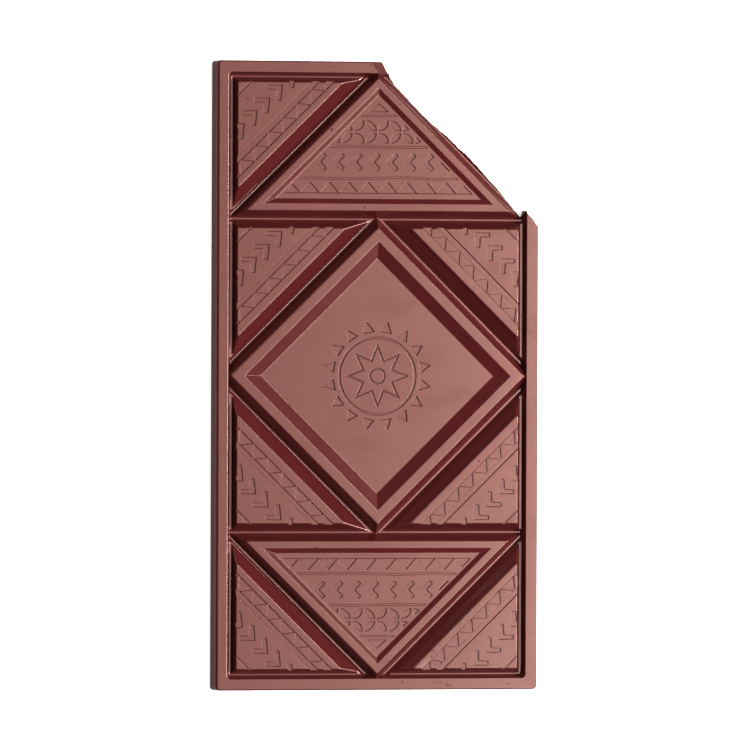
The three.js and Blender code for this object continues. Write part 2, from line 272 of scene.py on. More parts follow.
# %% Panels, triangles and the diamond
SNAP_DROP = PANEL_TOP - SNAP_FLOOR
EDGE_DROP = PANEL_TOP - EDGE_FLOOR
PANEL_HALF_WIDTH = 33.9
OUTER_PANEL_END = 70.1
MIDDLE_PANEL_END = 35.3
OUTER_PANEL_CROSSING = 78.57
MIDDLE_PANEL_CROSSING = 43.1
TRIANGLE_BASE = 39.3
TRIANGLE_CROSSING = 71.3
DIAMOND_CROSSING = 35.5
EDGE_SPREAD = run_for(0.89, EDGE_DROP)
ROW_SPREAD = {"panel": run_for(1.79, SNAP_DROP), "triangle": run_for(1.59, SNAP_DROP)}
LONG_SIDE_SPREAD = {"outer": run_for(3.28, SNAP_DROP), "middle": run_for(3.09, SNAP_DROP)}
TRIANGLE_SPREAD = run_for(1.24, SNAP_DROP)
DIAMOND_SPREAD = run_for(1.656, SNAP_DROP)
INTO_BORDER = 0.4  # how far a plinth reaches into the border's wall
FOOT = 1.0  # the level down to which the blocks run into the body
QUARTERS = [(1, 1), (-1, 1), (-1, -1), (1, -1)]
TRIANGLE_FRAME = {"width": 1.8, "run": 1.13, "depth": 0.5}
DIAMOND_FRAME = {"width": 2.39, "run": 2.83, "depth": 1.27}


def small_panel(place):
    """The walls of a small panel and those of the plinth under it."""
    if place == "outer":
        far_wall = wall(90, OUTER_PANEL_END, EDGE_SPREAD)
        plinth_end = wall(90, POCKET_HALF_LENGTH + INTO_BORDER, 0)
        long_side = slanting(225, -OUTER_PANEL_CROSSING, LONG_SIDE_SPREAD["outer"])
    else:
        far_wall = wall(90, MIDDLE_PANEL_END, ROW_SPREAD["panel"])
        plinth_end = far_wall
        long_side = slanting(225, -MIDDLE_PANEL_CROSSING, LONG_SIDE_SPREAD["middle"])
    panel = [wall(0, PANEL_HALF_WIDTH, EDGE_SPREAD), far_wall, long_side]
    plinth = [wall(0, POCKET_HALF_WIDTH + INTO_BORDER, 0), plinth_end, long_side]
    return panel, plinth


def sink_field(bm, width, run, depth):
    """Leaves a flat frame of this width round the top face, and sinks what is inside it."""
    top = max(bm.faces, key=lambda face: face.calc_center_median().z)
    bmesh.ops.inset_region(bm, faces=[top], thickness=width, use_even_offset=True)
    bmesh.ops.inset_region(bm, faces=[top], thickness=run, depth=-depth, use_even_offset=True)


blocks = new_collection("blocks")
for quarter in QUARTERS:
    for place in ("outer", "middle"):
        panel, plinth = small_panel(place)
        for name, walls, top in (("panel", panel, PANEL_TOP), ("plinth", plinth, EDGE_FLOOR)):
            as_object(name, mirrored(block(walls, PANEL_TOP, FOOT, top), quarter), blocks)

triangle_walls = [
    slanting(45, TRIANGLE_CROSSING, TRIANGLE_SPREAD),
    slanting(135, TRIANGLE_CROSSING, TRIANGLE_SPREAD),
    wall(270, -TRIANGLE_BASE, ROW_SPREAD["triangle"]),
]
for end in (1, -1):
    triangle = block(triangle_walls, PANEL_TOP, FOOT, PANEL_TOP)
    sink_field(triangle, **TRIANGLE_FRAME)
    as_object("triangle", mirrored(triangle, (1, end)), blocks)

diamond_walls = [slanting(facing, DIAMOND_CROSSING, DIAMOND_SPREAD) for facing in (45, 135, 225, 315)]
diamond = block(diamond_walls, PANEL_TOP, FOOT, PANEL_TOP)
sink_field(diamond, **DIAMOND_FRAME)
as_object("diamond", diamond, blocks)
use_up(bar, blocks, "UNION")

# %% [markdown]
# ## Softened edges
#
# Chocolate shrinks as it sets and its edges come out of the mould slightly round, and on a glossy
# thing it is these narrow rounds that catch the light. A bevel rounds them all at once, but not
# all alike, so every edge gets a weight first. The rim is roundest on the left, the ridges across
# the bar come next, the edges along the bar and the inner corners between two walls stay crisp, and
# the back, which was poured and scraped, isn't rounded at all. One radius for everything would be
# simpler, but the bright lines along the edges would then all be equally wide, as on a plastic toy.

# %% Round every edge of the moulded face
RADII = {"crisp": 0.14, "ridge": 0.45, "frame": 0.3, "valley": 0.35, "side_valley": 0.12, "mitre": 0.08}
RIM = {"ends": 0.33, "more_on_the_left": 0.27}
WIDEST_VALLEY = 0.3
WIDEST = 0.6
ROUND_SEGMENTS = 5
LEAST_TURN = math.radians(18)
FRAME_TURN = math.radians(30)  # the slopes inside the frames are the only gentle ones
MERGE = 1e-4
FLAT_BELOW = math.radians(0.3)
SAME_LEVEL = 0.1  # heights that differ by less count as one level
SAME_LINE = 0.01  # and so does X along an edge that runs along the bar


def edge_radius(edge, turn):
    """Edges along the bar are crisp, those across it are rounder, and so is the rim's left side."""
    first, second = (vert.co for vert in edge.verts)
    along = second - first
    if turn < 0 and abs(along.z) > SAME_LEVEL:
        return RADII["mitre"]
    if turn < 0:
        return RADII["side_valley" if abs(along.x) < SAME_LINE else "valley"]
    if turn < FRAME_TURN:
        return RADII["frame"]
    on_border = max(abs(first.z - BORDER_TOP), abs(second.z - BORDER_TOP)) < SAME_LEVEL
    outside = any(
        abs(end.x) > POCKET_HALF_WIDTH + 1 or abs(end.y) > POCKET_HALF_LENGTH + 1 for end in (first, second)
    )
    if on_border and outside:
        faces_right = math.copysign(abs(along.y) / along.length, first.x)
        return RIM["ends"] - RIM["more_on_the_left"] * faces_right
    return RADII["crisp" if on_border or abs(along.x) < SAME_LINE else "ridge"]


def edge_round(edge, turn):
    """How far from an edge its rounding starts."""
    widest = WIDEST_VALLEY if turn < 0 else WIDEST
    return min(widest, edge_radius(edge, turn) * math.tan(abs(turn) / 2))


def weigh_edges(bm):
    bmesh.ops.remove_doubles(bm, verts=bm.verts, dist=MERGE)
    bmesh.ops.dissolve_limit(bm, angle_limit=FLAT_BELOW, verts=bm.verts, edges=bm.edges, delimit=set())
    bm.normal_update()
    weight = bm.edges.layers.float.new("bevel_weight_edge")
    for edge in bm.edges:
        turn = edge.calc_face_angle_signed()
        if abs(turn) > LEAST_TURN and max(vert.co.z for vert in edge.verts) > SAME_LEVEL:
            edge[weight] = edge_round(edge, turn) / WIDEST


edit(bar, weigh_edges)
rounding = bar.modifiers.new("rounding", "BEVEL")
rounding.limit_method = "WEIGHT"
rounding.width = WIDEST
rounding.segments = ROUND_SEGMENTS
rounding.profile = 0.5
rounding.use_clamp_overlap = False
rounding.miter_outer = "MITER_SHARP"
rounding.loop_slide = True
bpy.context.view_layer.objects.active = bar
bpy.ops.object.modifier_apply(modifier=rounding.name)


def press_level(bm):
    """Presses the panels' sharp corners, which the rounding lifts by a hair, back to their level."""
    for vert in bm.verts:
        vert.co.z = min(vert.co.z, PANEL_TOP)


edit(bar, press_level)
print("with rounded edges:", len(bar.data.polygons), "faces")

# %% [markdown]
# ## Sunk figures
#
# The relief was cut into the mould by hand or by a small rotating tool, so its walls slope and its
# edges are soft. Each figure starts as one flat face of the right outline. A cutter is then made
# of it by pushing the face down in a few short steps and insetting it a little at each step. The
# first step is a gentle lip, the next one is the wall, and the last one eases into the floor. The
# lip matters most: it catches the light on one side of a figure and loses it on the other. The
# wide band has one more step at its lip, as its edges are softer. A bevel on the finished
# relief would run into trouble wherever two thin lines meet, and the steps can't, because they are
# in the cutter itself.

# %% Turning an outline into a cutter
CLEAR = 0.02  # how far a cutter's top is above the surface that it cuts
FIGURE = [(0.09, 0.023), (0.11, 0.24), (0.04, 0.04)]  # inwards and down, for each step
LINE = [(0.08, 0.02), (0.08, 0.20), (0.03, 0.03)]
DEEP = [(0.10, 0.025), (0.13, 0.31), (0.04, 0.04)]
RAISED = [(-0.08, 0.02), (-0.10, 0.22), (-0.04, 0.04)]
LIPPED = [(0.08, 0.02), (0.04, 0.04), (0.08, 0.19), (0.05, 0.026)]  # for a softer edge


def outline(corners, level):
    """A flat face from its corners."""
    bm = bmesh.new()
    verts = [bm.verts.new((x, y, level)) for x, y in corners]
    edges = [bm.edges.new(pair) for pair in zip(verts, verts[1:] + verts[:1])]
    bmesh.ops.contextual_create(bm, geom=edges)
    return bm


def lowered(bm, faces, down):
    verts = list({vert for face in faces for vert in face.verts})
    bmesh.ops.translate(bm, vec=(0, 0, -down), verts=verts)


def push_down(bm, steps):
    """Makes a closed cutter of the flat faces in a bmesh."""
    bmesh.ops.recalc_face_normals(bm, faces=bm.faces)
    for face in bm.faces:
        if face.normal.z < 0:
            face.normal_flip()
    grown = bmesh.ops.extrude_face_region(bm, geom=list(bm.faces), use_keep_orig=True)
    faces = [part for part in grown["geom"] if isinstance(part, bmesh.types.BMFace)]
    lowered(bm, faces, 0.75 * CLEAR)
    for inwards, down in steps:
        bmesh.ops.inset_region(bm, faces=faces, thickness=inwards, use_even_offset=True, use_boundary=True)
        lowered(bm, faces, down)
    bmesh.ops.recalc_face_normals(bm, faces=bm.faces)
    return bm


def soften_corners(bm, radius):
    """Rounds the corners of a flat face."""
    bmesh.ops.bevel(
        bm,
        geom=bm.verts[:],
        offset=radius,
        offset_type="OFFSET",
        segments=3,
        profile=0.5,
        affect="VERTICES",
        clamp_overlap=True,
        material=-1,
    )


def cutter(corners, surface, steps, collection, corner=0, name="figure"):
    bm = outline(corners, surface + CLEAR)
    if corner:
        soften_corners(bm, corner)
    return as_object(name, push_down(bm, steps), collection)


# %% [markdown]
# ## The small panels' relief
#
# Along each panel's long side runs a sunk band with a row of raised triangles in it, then comes a
# row of angle hooks, and a thin line cuts across the corner. The band is pushed down first, and
# tapered triangles are cut out of its cutter, so that they stay raised in the chocolate. The
# relief of the middle row is that of the end rows moved nearer, so one set of figures is enough:
# it is kept inside each kind of field by an intersection, and mirrored. The field is a little
# longer than the panel, because the tool that cut the mould ran out over the panel's short edges
# and left small notches in them.

# %% Band, triangles, hooks and corner line
SQUARE = math.sqrt(0.5)
BAND = (80.7, 86.4)
CORNER_LINE = (100.4, 101.2)
TOOTH = {"out": 84.2 * SQUARE, "first": -8.44, "pitch": 4.78, "base": 3.8, "height": 2.3, "count": 7}
HOOK = {"start": (20.05, 72.5), "step": (3.05, -3.1), "size": 4.0, "thickness": 1.4, "count": 5}
OVERRUN = 0.5  # how far the relief runs out over a panel's short edges
LONG_SIDE_MARGIN = 0.35
MIDDLE_SHIFT = 34.85


def across(out, along):
    """A point by how far out it is at 45 degrees, and how far along from there."""
    return (out + along) * SQUARE, (out - along) * SQUARE


def diagonal_strip(inner, outer):
    return [(0, inner), (0, outer), (outer, 0), (inner, 0)]


def tooth_corners(number):
    out, height = TOOTH["out"], TOOTH["height"]
    start = TOOTH["first"] - TOOTH["pitch"] * number
    end = start - TOOTH["base"]
    return [across(out, start), across(out, end), across(out - height, (start + end) / 2)]


def hook_corners(number):
    size, thick = HOOK["size"], HOOK["thickness"]
    x, y = (at + step * number for at, step in zip(HOOK["start"], HOOK["step"]))
    return [
        (x, y),
        (x + size, y - 0.1),
        (x + size, y - thick + 0.1),
        (x + thick + 0.3, y - thick),
        (x + thick + 0.2, y - size + 0.1),
        (x + 0.4, y - size),
    ]


def raised_tooth(corners, collection):
    """A tapered block that keeps a triangle of the surface when a cutter passes."""
    bm = push_down(outline(corners, PANEL_TOP + 2 * CLEAR), [(0, CLEAR), *RAISED, (0, 0.3)])
    return as_object("tooth", bm, collection)


band = cutter(diagonal_strip(*BAND), PANEL_TOP, LIPPED, None, name="band")
teeth = new_collection("teeth")
for number in range(TOOTH["count"]):
    raised_tooth(tooth_corners(number), teeth)
use_up(band, teeth, "DIFFERENCE")
figures = new_collection("figures")
for number in range(HOOK["count"]):
    cutter(hook_corners(number), PANEL_TOP, FIGURE, figures, corner=0.3)
cutter(diagonal_strip(*CORNER_LINE), PANEL_TOP, LINE, figures)
use_up(band, figures, "UNION")


def within(piece, field, name):
    """A copy of some relief, kept inside a field."""
    copy = bpy.data.objects.new(name, piece.data.copy())
    bpy.context.scene.collection.objects.link(copy)
    limits = new_collection("limits")
    as_object("field", field, limits)
    use_up(copy, limits, "INTERSECT")
    return copy


def panel_field(end, crossing, shift):
    """The tapered space that a small panel's relief may fill."""
    in_x = PANEL_HALF_WIDTH + OVERRUN
    in_y = end + shift + OVERRUN
    in_crossing = crossing + shift + LONG_SIDE_MARGIN
    corners = [(in_x, in_y), (in_crossing - in_y, in_y), (in_x, in_crossing - in_x)]
    return push_down(outline(corners, PANEL_TOP + CLEAR), FIGURE + [(0, 0.2)])


def place(piece, shift, quarter, collection):
    """Puts a mirrored copy of some relief in its place."""
    bm = bmesh.new()
    bm.from_mesh(piece.data)
    bmesh.ops.translate(bm, vec=(0, -shift, 0), verts=bm.verts)
    return as_object("placed", mirrored(bm, quarter), collection)


def forget(piece):
    mesh = piece.data
    bpy.data.objects.remove(piece)
    bpy.data.meshes.remove(mesh)


relief = new_collection("relief")
fields = (OUTER_PANEL_END, OUTER_PANEL_CROSSING, 0), (MIDDLE_PANEL_END, MIDDLE_PANEL_CROSSING, MIDDLE_SHIFT)
for end, crossing, shift in fields:
    kept = within(band, panel_field(end, crossing, shift), "kept")
    for quarter in QUARTERS:
        place(kept, shift, quarter, relief)
    forget(kept)
forget(band)

# %% [markdown]
# ## The triangles' relief
#
# The triangles are filled with rows from base to point: a row of saw teeth, a line, a row of
# arrows that all point the same way, a line, a row of rounds made of four petals, a line and a
# small triangle. A petal lies between the quarter of a circle and an arc that bulges towards the
# middle of the round, so it is a lens cut from two circles.

# %% Rows of figures
SAW = {"base": 43.45, "point": 46.5, "half": 2.65, "pitch": 4.7, "first": -21.2, "count": 10}
LINES = [(46.8, 47.5), (54.4, 55.1), (61.75, 62.4)]
ARROWS = {"y": 51.05, "tip": -19.9, "pitch": 4.33, "count": 9, "width": 1.8, "arm": 2.35}
ROUNDS = {"y": 58.25, "x": -9.1, "pitch": 5.88, "count": 4, "radius": 2.9}
PETAL = {"from": 5, "to": 85, "bulge_out": 3.307, "bulge_radius": 2.157, "bulge_half": 59.8}
TIP = {"base": 62.9, "point": 65.3, "half": 2.7}
WANDER = {"by": 0.45, "slowness": 11, "step": 2.5, "steps_each_way": 12}
FIELD_MARGIN = 0.7
TRIANGLE_FIELD_TOP = PANEL_TOP - TRIANGLE_FRAME["depth"]


def saw_corners(number):
    x = SAW["first"] + SAW["pitch"] * number
    return [(x - SAW["half"], SAW["base"]), (x + SAW["half"], SAW["base"]), (x, SAW["point"])]


def arrow_corners(number):
    y, arm, half = ARROWS["y"], ARROWS["arm"], ARROWS["width"] / 2
    x = ARROWS["tip"] + ARROWS["pitch"] * number
    return [
        (x, y),
        (x + arm, y - arm),
        (x + arm + half, y - arm + half),
        (x + 2 * half, y),
        (x + arm + half, y + arm - half),
        (x + arm, y + arm),
    ]


def wavy_strip(low, high):
    """A thin strip across the triangle that wanders a little, as a line cut by hand does."""
    reach = WANDER["steps_each_way"]
    places = [step * WANDER["step"] for step in range(-reach, reach + 1)]
    drift = [WANDER["by"] * noise.noise(Vector((x / WANDER["slowness"], low, 3))) for x in places]
    lower = [(x, low + d) for x, d in zip(places, drift)]
    upper = [(x, high + d) for x, d in zip(places, drift)]
    return lower + upper[::-1]


def arc(middle, radius, start, end, steps):
    angles = [math.radians(start + (end - start) * step / steps) for step in range(steps + 1)]
    return [(middle[0] + radius * math.cos(a), middle[1] + radius * math.sin(a)) for a in angles]


def petal_corners(number, turn):
    middle = (ROUNDS["x"] + ROUNDS["pitch"] * number, ROUNDS["y"])
    rim = arc(middle, ROUNDS["radius"], turn + PETAL["from"], turn + PETAL["to"], 7)
    way = math.radians(turn + 45)
    far = PETAL["bulge_out"]
    centre = (middle[0] + far * math.cos(way), middle[1] + far * math.sin(way))
    start = turn + 225 - PETAL["bulge_half"]
    bulge = arc(centre, PETAL["bulge_radius"], start, start + 2 * PETAL["bulge_half"], 9)
    return rim + bulge[1:-1]


rows = new_collection("rows")
saw = cutter(saw_corners(0), TRIANGLE_FIELD_TOP, FIGURE, None, name="saw")
for number in range(1, SAW["count"]):
    cutter(saw_corners(number), TRIANGLE_FIELD_TOP, FIGURE, rows)
for low, high in LINES:
    cutter(wavy_strip(low, high), TRIANGLE_FIELD_TOP, LINE, rows)
for number in range(ARROWS["count"]):
    cutter(arrow_corners(number), TRIANGLE_FIELD_TOP, FIGURE, rows, corner=0.25)
for number in range(ROUNDS["count"]):
    for turn in (0, 90, 180, 270):
        cutter(petal_corners(number, turn), TRIANGLE_FIELD_TOP, FIGURE, rows)
tip_corners = [(-TIP["half"], TIP["base"]), (TIP["half"], TIP["base"]), (0, TIP["point"])]
cutter(tip_corners, TRIANGLE_FIELD_TOP, FIGURE, rows)
use_up(saw, rows, "UNION")


def triangle_field():
    """The space that a triangle's relief may fill, clear of the slope up to its frame."""
    low = TRIANGLE_BASE + TRIANGLE_FRAME["width"] + TRIANGLE_FRAME["run"] + 0.1
    foot = (TRIANGLE_FRAME["width"] + TRIANGLE_FRAME["run"]) / SQUARE
    top = TRIANGLE_CROSSING - foot - FIELD_MARGIN
    corners = [(0, top), (low - top, low), (top - low, low)]
    return push_down(outline(corners, TRIANGLE_FIELD_TOP + CLEAR), FIGURE + [(0, 0.2)])


kept = within(saw, triangle_field(), "kept")
for end in (1, -1):
    place(kept, 0, (1, end), relief)
forget(kept)
forget(saw)

# %% [markdown]
# ## The emblem
#
# The diamond carries a plain emblem: an eight-pointed star drawn with one line, a ring round it, a
# hub in the middle and a wreath of short rays. Star and rings begin as flat circles. For the star
# every second point is drawn in, and an inset leaves just the line.

# %% Star, rings and rays
DIAMOND_FIELD_TOP = PANEL_TOP - DIAMOND_FRAME["depth"]
STAR = {"points": 8, "tip": 8.0, "notch": 4.2, "line": 0.62}
RINGS = [(9.55, 0.75), (2.1, 0.65)]  # outer radius and width
RAYS = {"count": 16, "foot": 10.4, "tip": 13.4, "half": 1.6}


def only_line(bm, width):
    """Turns one flat face into a closed line of this width along its rim."""
    face = bm.faces[:][0]
    bmesh.ops.inset_region(bm, faces=[face], thickness=width, use_even_offset=True, use_boundary=True)
    bmesh.ops.delete(bm, geom=[face], context="FACES")
    return bm


def star_line():
    bm = bmesh.new()
    made = bmesh.ops.create_circle(bm, cap_ends=True, segments=2 * STAR["points"], radius=STAR["tip"])
    notches = [vert for number, vert in enumerate(made["verts"]) if number % 2 == 1]
    share = STAR["notch"] / STAR["tip"]
    bmesh.ops.scale(bm, vec=(share, share, 1), verts=notches)
    return only_line(bm, STAR["line"])


def ring_line(radius, width):
    bm = bmesh.new()
    bmesh.ops.create_circle(bm, cap_ends=True, segments=72, radius=radius)
    return only_line(bm, width)


def ray_corners(number):
    way = math.tau * (number + 0.5) / RAYS["count"]
    corners = [(RAYS["foot"], -RAYS["half"]), (RAYS["tip"], 0), (RAYS["foot"], RAYS["half"])]
    c, s = math.cos(way), math.sin(way)
    return [(out * c - side * s, out * s + side * c) for out, side in corners]


for line in (star_line(), *(ring_line(*ring) for ring in RINGS)):
    bmesh.ops.translate(line, vec=(0, 0, DIAMOND_FIELD_TOP + CLEAR), verts=line.verts)
    as_object("line", push_down(line, DEEP[:2]), relief)
for number in range(RAYS["count"]):
    cutter(ray_corners(number), DIAMOND_FIELD_TOP, DEEP, relief)

use_up(bar, relief, "DIFFERENCE")
print("with its relief:", len(bar.data.polygons), "faces")

# %% [markdown]
# ## Small flaws
#
# A cast bar is never perfect. Air bubbles leave round dents, an edge chips where the bar was
# knocked out of its mould, and packing leaves scratches and pale scuffs. The dents and chips are
# small balls cut out of the surface. A scratch is a very narrow figure with one shallow step. The
# scuffs have the same pale, rough finish as a broken face, so their cutters are marked for it.

# %% Dents, scratches and scuffs
DENTS = [  # x, y, radius and depth, all at the level of the panels' tops
    (-11.46, 58.73, 0.40, 0.15), (-26.35, 51.22, 0.40, 0.14), (11.40, 19.27, 0.40, 0.16),
    (-3.43, 40.19, 0.50, 0.10), (-31.68, 65.92, 0.35, 0.08), (-14.94, -40.93, 0.28, 0.10),
    (13.10, 18.10, 0.30, 0.12), (-21.90, 46.30, 0.30, 0.07), (24.60, -20.30, 0.30, 0.09),
]
SCRATCHES = [  # from x, y to x, y, and the level
    (1.8, 66.6, 3.2, 67.4, PANEL_TOP), (4.2, 64.6, 5.3, 64.9, PANEL_TOP),
    (12.4, 56.9, 13.9, 57.2, PANEL_TOP), (16.0, 54.6, 17.1, 55.1, PANEL_TOP),
    (22.8, 46.4, 24.6, 46.9, PANEL_TOP), (6.6, -72.5, 4.2, -73.6, BORDER_TOP),
    (-14.0, 73.6, -9.5, 73.9, BORDER_TOP), (37.4, -18.0, 37.1, -12.5, BORDER_TOP),
]
SCUFFS = [  # x, y, how far they are strewn, how many, and the level
    (13.3, -65.6, 1.1, 9, PANEL_TOP), (15.3, -68.8, 0.8, 8, PANEL_TOP), (12.4, -52.9, 0.5, 5, PANEL_TOP),
    (6.0, -73.3, 0.3, 4, BORDER_TOP), (14.7, -73.3, 0.3, 3, BORDER_TOP), (17.6, -74.2, 0.5, 7, BORDER_TOP),
    (31.5, -73.6, 0.6, 4, BORDER_TOP), (-37.2, 24.0, 0.5, 3, BORDER_TOP), (-1.6, 74.2, 0.5, 4, BORDER_TOP),
]
SEED = 5  # of all that is random, so that every run makes the same bar
draw = random.Random(SEED)


def ball(x, y, radius, depth, level, collection):
    """A ball that dips `depth` below a level."""
    bm = bmesh.new()
    bmesh.ops.create_icosphere(bm, subdivisions=2, radius=radius)
    bmesh.ops.translate(bm, vec=(x, y, level + radius - depth), verts=bm.verts)
    return as_object("dent", bm, collection)


def scratch(x0, y0, x1, y1, level, collection):
    half = 0.5 * Vector((y0 - y1, x1 - x0)).normalized() * 0.13
    corners = [(x0, y0), (x1 - half.x, y1 - half.y), (x1 + half.x, y1 + half.y)]
    return cutter(corners, level, [(0.03, 0.05)], collection, name="scratch")


def mark_broken(piece):
    """Gives a cutter the finish of the fracture, which the cut surface then takes over."""
    for finish in finishes:
        piece.data.materials.append(finish)
    for face in piece.data.polygons:
        face.material_index = finishes.index(fracture)


flaws = new_collection("flaws")
for x, y, radius, depth in DENTS:
    ball(x, y, radius, depth, PANEL_TOP, flaws)
for line in SCRATCHES:
    scratch(*line, flaws)
for x, y, spread, count, level in SCUFFS:
    for number in range(count):
        size = draw.uniform(0.10, 0.20)
        at = x + draw.gauss(0, spread), y + draw.gauss(0, 0.6 * spread)
        mark_broken(ball(*at, size, 0.45 * size, level, flaws))
use_up(bar, flaws, "DIFFERENCE")
print("with its small flaws:", len(bar.data.polygons), "faces")

# %% [markdown]
# ## The broken corner
#
# Chocolate breaks like stone: the crack runs down to the thinnest place, which is the groove beside
# the triangle, and its face is rough and grainy. The crack starts as a line of vertices, is
# divided finely, and is extruded upwards in small steps. Seeded noise then pushes the sheet about,
# coarse and fine together, and an extrusion away from the bar makes it a solid that takes the
# corner off. The end of the border broke at a slant, so a second rough sheet takes a chip out of it.

# %% The crack and the chip
CRACK = [
    (1.3, 76.4), (1.4, 74.9), (2.9, 71.7), (4.3, 69.5), (7.55, 66.25), (11.4, 62.2),
    (17.5, 56.9), (22.9, 51.8), (30.45, 43.65), (34.1, 39.1), (34.7, 38.3), (35.2, 38.3),
    (35.9, 39.9), (36.3, 39.0), (37.7, 37.5), (38.5, 36.3), (39.7, 36.0),
]
GRAIN = 0.33
COARSE = {"size": 1.7, "height": 0.12}
GRAINY = {"size": 0.55, "height": 0.055}
AWAY = (17.2, 57.5, 0)
CHIP = {"at": (-0.75, 73.4, 5.0), "direction": 34, "dip": 50, "length": 5.6, "reach": 8.0}


def roughen(bm):
    for vert in bm.verts:
        for kind in (COARSE, GRAINY):
            vert.co += noise.noise_vector(vert.co / kind["size"]) * kind["height"]


def crack_sheet():
    bm = bmesh.new()
    verts = [bm.verts.new((x, y, -ABOVE)) for x, y in CRACK]
    for edge in [bm.edges.new(pair) for pair in zip(verts, verts[1:])]:
        bmesh.ops.subdivide_edges(bm, edges=[edge], cuts=int(edge.calc_length() / GRAIN))
    row = bm.edges[:]
    for step in range(round((PANEL_TOP + 2 * ABOVE) / GRAIN)):
        grown = bmesh.ops.extrude_edge_only(bm, edges=row)["geom"]
        row = [part for part in grown if isinstance(part, bmesh.types.BMEdge)]
        new = [part for part in grown if isinstance(part, bmesh.types.BMVert)]
        bmesh.ops.translate(bm, vec=(0, 0, GRAIN), verts=new)
    return bm


def thicken(bm, way):
    """Closes a sheet into a solid by extruding it one way."""
    grown = bmesh.ops.extrude_face_region(bm, geom=bm.faces[:], use_keep_orig=True)["geom"]
    bmesh.ops.translate(bm, vec=way, verts=[part for part in grown if isinstance(part, bmesh.types.BMVert)])
    bmesh.ops.recalc_face_normals(bm, faces=bm.faces)
    return bm


def chip_sheet():
    bm = bmesh.new()
    half, reach = CHIP["length"] / 2, CHIP["reach"]
    bmesh.ops.create_grid(bm, x_segments=26, y_segments=15, size=1)
    bmesh.ops.scale(bm, vec=(reach / 2, half, 1), verts=bm.verts)
    bmesh.ops.translate(bm, vec=(reach / 2, 0, 0), verts=bm.verts)
    return bm


noise.seed_set(SEED)  # without it noise_vector starts from the clock, and each run breaks differently
gone = new_collection("gone")
sheet = crack_sheet()
roughen(sheet)
mark_broken(as_object("lost_corner", thicken(sheet, AWAY), gone))
slant = chip_sheet()
roughen(slant)
thicken(slant, (0, 0, CHIP["reach"]))
aim = Matrix.Rotation(math.radians(CHIP["direction"]), 4, "Z")
dip = Matrix.Rotation(math.radians(CHIP["dip"]), 4, "Y")
bmesh.ops.transform(slant, matrix=Matrix.Translation(CHIP["at"]) @ aim @ dip, verts=slant.verts)
mark_broken(as_object("chip", slant, gone))
use_up(bar, gone, "DIFFERENCE")
print("with its broken corner:", len(bar.data.polygons), "faces")

# %% [markdown]
# ## Crisp corners and smooth rounds
#
# The rounded edges are made of narrow flat strips. Smooth shading blends them into each other, and
# an angle limit keeps every real corner crisp. The mesh is scaled to metres now, and the finishes
# are shared out: what was broken already has its own, the flat underside is the poured back, and
# everything else is the moulded face.

# %% Finishes, scale and shading
SMOOTH_BELOW = 20  # degrees


def share_finishes(bm):
    broken = finishes.index(fracture)
    for face in bm.faces:
        if face.material_index != broken:
            face.material_index = finishes.index(moulded_face)
        if face.calc_center_median().z < 0.01 and face.normal.z < -0.9:
            face.material_index = finishes.index(poured_back)


edit(bar, share_finishes)
bar.data.materials.clear()
for finish in finishes:
    bar.data.materials.append(finish)
bar.data.shade_smooth()
bar.data.set_sharp_from_angle(angle=math.radians(SMOOTH_BELOW))
bar.data.transform(Matrix.Scale(MM, 4))
by_area = bar.modifiers.new("by_area", "WEIGHTED_NORMAL")
by_area.keep_sharp = True
shares = {finish.name: 0 for finish in finishes}
for face in bar.data.polygons:
    shares[finishes[face.material_index].name] += 1
print("faces of each finish:", shares)

# %% [markdown]
# ## What all three finishes have in common
#
# Dark chocolate is cocoa solids and sugar in cocoa butter, so its colour is never quite even: there
# are soft clouds, where the butter set differently, and fine specks. The same grain also makes the
# surface very slightly uneven. Both effects are used by every finish, so each one is a node group
# with its own strength. They read Object coordinates, so the pattern stays with the bar, and a
# Mapping node turns metres into millimetres, which makes every scale easy to read.

# %% Helpers for nodes
def new_group(name, inputs, outputs):
    """An empty node group with named sockets, its input node and its output node."""
    group = bpy.data.node_groups.new(name, "ShaderNodeTree")
    for in_out, sockets in (("INPUT", inputs), ("OUTPUT", outputs)):
        for label, kind in sockets:
            group.interface.new_socket(label, in_out=in_out, socket_type=kind)
    return group, group.nodes.new("NodeGroupInput"), group.nodes.new("NodeGroupOutput")


def in_millimetres(tree, turn=0, stretch=(1, 1, 1)):
    """Object coordinates in millimetres, turned about Z and stretched."""
    place = tree.nodes.new("ShaderNodeTexCoord")
    mapping = tree.nodes.new("ShaderNodeMapping")
    mapping.inputs["Scale"].default_value = [1000 * size for size in stretch]
    mapping.inputs["Rotation"].default_value = (0, 0, math.radians(turn))
    tree.links.new(place.outputs["Object"], mapping.inputs["Vector"])
    return mapping.outputs["Vector"]


def noise_at(tree, vector, size, detail=2.0, roughness=0.5):
    """Noise whose lumps are about `size` millimetres wide."""
    texture = tree.nodes.new("ShaderNodeTexNoise")
    texture.inputs["Scale"].default_value = 1 / size
    texture.inputs["Detail"].default_value = detail
    texture.inputs["Roughness"].default_value = roughness
    tree.links.new(vector, texture.inputs["Vector"])
    return texture.outputs["Fac"]


def spread_out(tree, value, low, high, to_low=0.0, to_high=1.0):
    """Stretches a range of values to another one, and stops at its ends."""
    ranged = tree.nodes.new("ShaderNodeMapRange")
    for label, number in (("From Min", low), ("From Max", high), ("To Min", to_low), ("To Max", to_high)):
        ranged.inputs[label].default_value = number
    tree.links.new(value, ranged.inputs["Value"])
    return ranged.outputs["Result"]


def calculate(tree, operation, *values):
    math_node = tree.nodes.new("ShaderNodeMath")
    math_node.operation = operation
    for socket, value in zip(math_node.inputs, values):
        if isinstance(value, (int, float)):
            socket.default_value = value
        else:
            tree.links.new(value, socket)
    return math_node.outputs["Value"]


